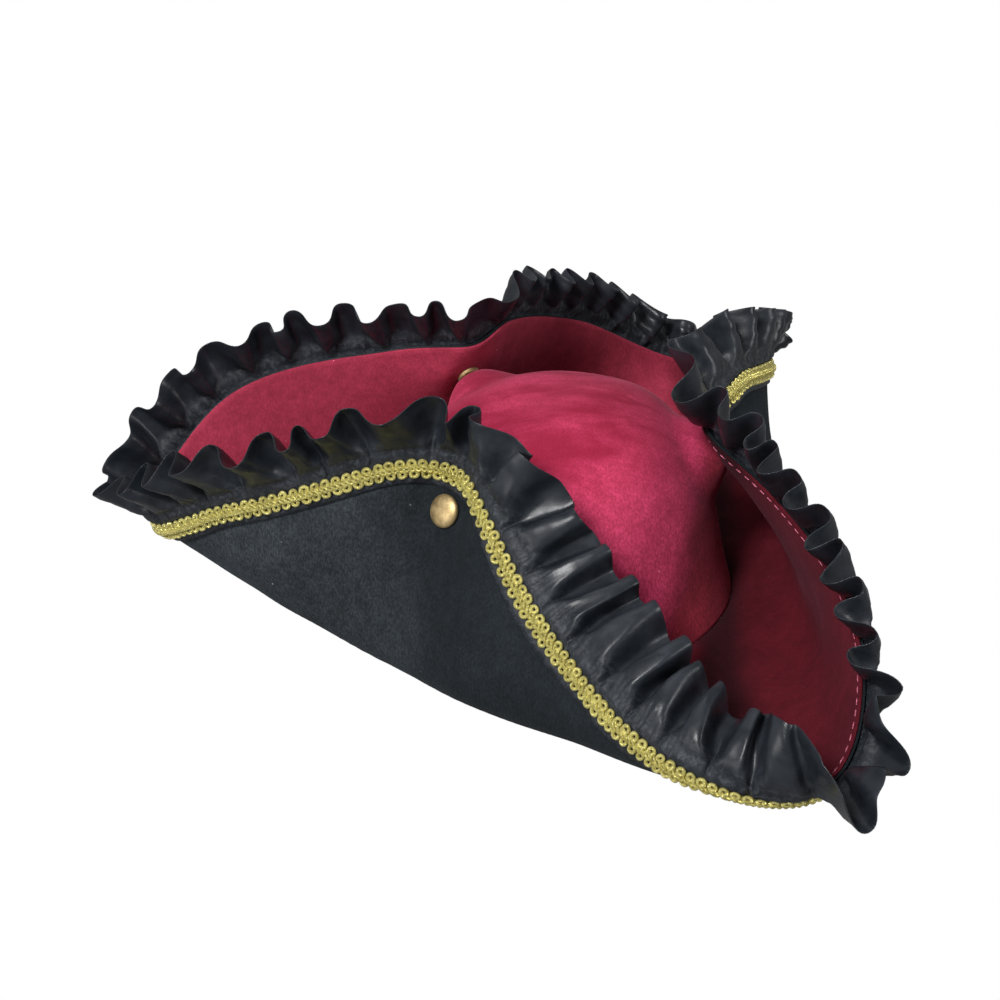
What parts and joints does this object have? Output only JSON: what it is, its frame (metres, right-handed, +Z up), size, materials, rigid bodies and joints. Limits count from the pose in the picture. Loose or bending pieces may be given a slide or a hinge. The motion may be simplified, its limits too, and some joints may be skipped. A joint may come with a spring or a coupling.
{
  "type": "tricorn hat",
  "caption": "Tricorn hat with a rounded velvet crown, a two-tone brim snapped up into corners, metallic braid and a gathered satin ruffle all round its edge.",
  "frame": {"origin": "middle of the hat's footprint, on the surface that it rests on", "axes": "+Z up, -X towards the front corner, -Y towards the near side of the picture"},
  "size_m": [0.4286, 0.4852, 0.1601],
  "materials": {
    "red_velvet": "crimson velvet pile",
    "black_velvet": "black velvet pile",
    "black_satin": "black satin, soft sheen",
    "gold_braid": "woven metallic gold gimp",
    "snap_brass": "matt antique brass"
  },
  "bodies": {
    "root": {"crown": "red_velvet", "brim_facing": "red_velvet", "brim_underside": "black_velvet", "ruffle": "black_satin", "gold_braid": "gold_braid", "snap_cap_near": "snap_brass", "snap_stud_near": "snap_brass", "snap_cap_back": "snap_brass", "snap_stud_back": "snap_brass", "snap_cap_far": "snap_brass", "snap_stud_far": "snap_brass"}
  },
  "joints": []
}
